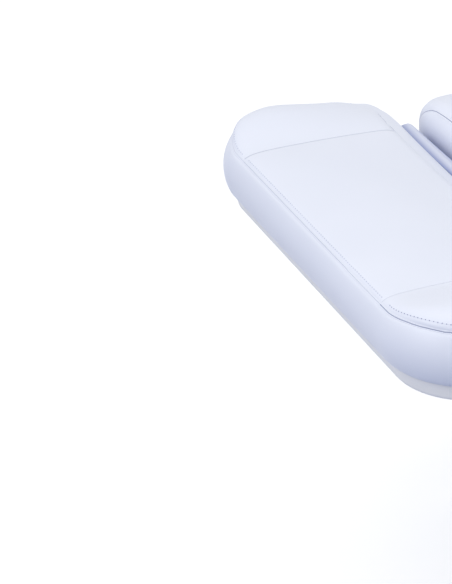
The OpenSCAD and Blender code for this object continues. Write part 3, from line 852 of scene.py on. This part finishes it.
# CAD node: the sections it joins, and their bodies
HINGES = {"head_hinge_cover": ("head", "back", "head_section", "back_section"),
          "back_hinge_cover": ("back", "seat", "back_section", "carriage"),
          "leg_hinge_cover": ("seat", "leg", "carriage", "leg_section")}


def clear_of(verts, names, gap):
    """Moves points out to at least gap from the named pieces, without moving them along the hinge."""
    depsgraph = bpy.context.evaluated_depsgraph_get()
    trees = [BVHTree.FromObject(bpy.data.objects[name], depsgraph) for name in names]
    moved = []
    for point in verts:
        point = Vector(point)
        for _ in range(6):
            for tree in trees:
                near, normal, _, _ = tree.find_nearest(point)
                out = Vector((normal.x, 0, normal.z)).normalized()
                point += out * max(0.0, gap - (point - near).dot(normal))
        moved.append(tuple(point))
    return moved


def make_hinge_cover(node):
    """A loose vinyl fold over a hinge, fixed to the boards on both sides."""
    low_name, high_name, low_body, high_body = HINGES[node]
    low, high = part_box(node)
    mid = (low[0] + high[0]) / 2
    axis = SEAM_Z - HINGE_DROP
    half = high[1] - 6 * MM
    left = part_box(low_name + "_board")[1][0] - mid
    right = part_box(high_name + "_board")[0][0] - mid
    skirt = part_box(low_name + "_board")[1][2] - 4 * MM
    side = 1 if low_name == "head" else -1
    top = high[2] - axis
    # down to the boards between the cushions and the hinge eyes; x and z from the hinge axis
    ridge = [(-37, -39.5), (-32, -35), (-27.6, -28.5), (-23.4, -22.5), (-20.2, -16.5), (-17, -10.5), (-14, -4.5),
             (-12.6, 0), (-12, 3.4), (-10.3, 7), (-9, 11)]
    ridge = [(x * MM, z * MM) for x, z in ridge]
    crown = [(-8.4, 0), (-6, 5), (-2.5, 8), (0, 8.6), (3, 6), (7, 0), (10, -7)]
    ridge += [(x * MM, top + z * MM) for x, z in crown]
    ridge += [(x * MM, z * MM) for x, z in [(15, 0), (17.5, -12), (22, -20), (27.6, -28.5), (32, -35), (37, -39.5)]]
    shape = [(side * x, axis + z) for x, z in ridge][::side]
    outline = [(left + 4 * MM, skirt), *shape, (right - 4 * MM, skirt)]
    crest = max(z for _, z in shape)
    outline = even([(x, 0, z) for x, z in outline], 2 * MM)
    rows = 110
    count = len(outline)
    verts, faces, painted_fold_shade = [], [], []
    for i in range(rows + 1):
        y = -half + 2 * half * i / rows
        edge = max(0.0, 1 - (half - abs(y)) / (5 * MM))
        sag = 1 - (y / half) ** 2
        for x, _, z in outline:
            lift = (z - skirt) / (crest - skirt)
            above = max(0.0, (z - axis - 9 * MM) / (crest - axis - 9 * MM))
            wave = math.sin(y * 17 + 1.3) * 0.5 + math.sin(y * 39 + 0.4) * 0.25
            sway = side * (4 - 5 * sag) * lift ** 6
            fall = FOLD_END_DROP + FOLD_SAG * sag + 2 * MM * edge * edge
            verts.append((mid + x + sway * MM, y, z + wave * 0.5 * MM * above - fall * above))
            # painted shade: 0 low on the flanks and in the gap, rising to 1 on the crest
            painted_fold_shade.append(min(1.0, max(0.0, (z - crest + 11 * MM + side * x * 0.5) / (13 * MM))))
    verts = clear_of(verts, [low_name + "_upholstery", high_name + "_upholstery"], FOLD_CLEARANCE)
    for i in range(rows):
        for k in range(count - 1):
            faces.append((i * count + k, (i + 1) * count + k, (i + 1) * count + k + 1, i * count + k + 1))
    piece = link_mesh(node + "_fold", verts, faces, [FOLD_VINYL_PAINTED_SHADE])
    piece.data.attributes.new("crest", "FLOAT", "POINT").data.foreach_set("value", painted_fold_shade)
    solid = piece.modifiers.new("thickness", "SOLIDIFY")
    solid.thickness = FOLD_THICKNESS
    solid.offset = -1
    sub = piece.modifiers.new("subdivision", "SUBSURF")
    sub.levels = sub.render_levels = 1
    mesh = bpy.data.meshes.new_from_object(piece.evaluated_get(bpy.context.evaluated_depsgraph_get()))
    piece.modifiers.clear()
    piece.data = mesh
    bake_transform(piece)
    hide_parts(node)


# ---------------------------------------------------------------- floor

def make_floor():
    mesh = bpy.data.meshes.new("floor")
    r = 14
    mesh.from_pydata([(-r, -r, floor_z), (r, -r, floor_z), (r, r, floor_z), (-r, r, floor_z)], [], [(0, 1, 2, 3)])
    m = Nodes("floor")
    m.color(m.noise(1.5, 2), (0.78, 0.78, 0.785), (0.80, 0.80, 0.805))
    m.roughness(m.noise(3, 2), 0.6, 0.7)
    m.set(Emission_Color=(1, 1, 1, 1), Emission_Strength=0.42)
    mesh.materials.append(m.mat)
    obj = bpy.data.objects.new("floor", mesh)
    obj.visible_diffuse = False
    bpy.context.collection.objects.link(obj)


aim_camera()
light_scene()
dress_cad_nodes()
for section in SECTIONS:
    make_cushion(section)
    make_edge_band(section)
for node in HINGES:
    make_hinge_cover(node)
make_floor()
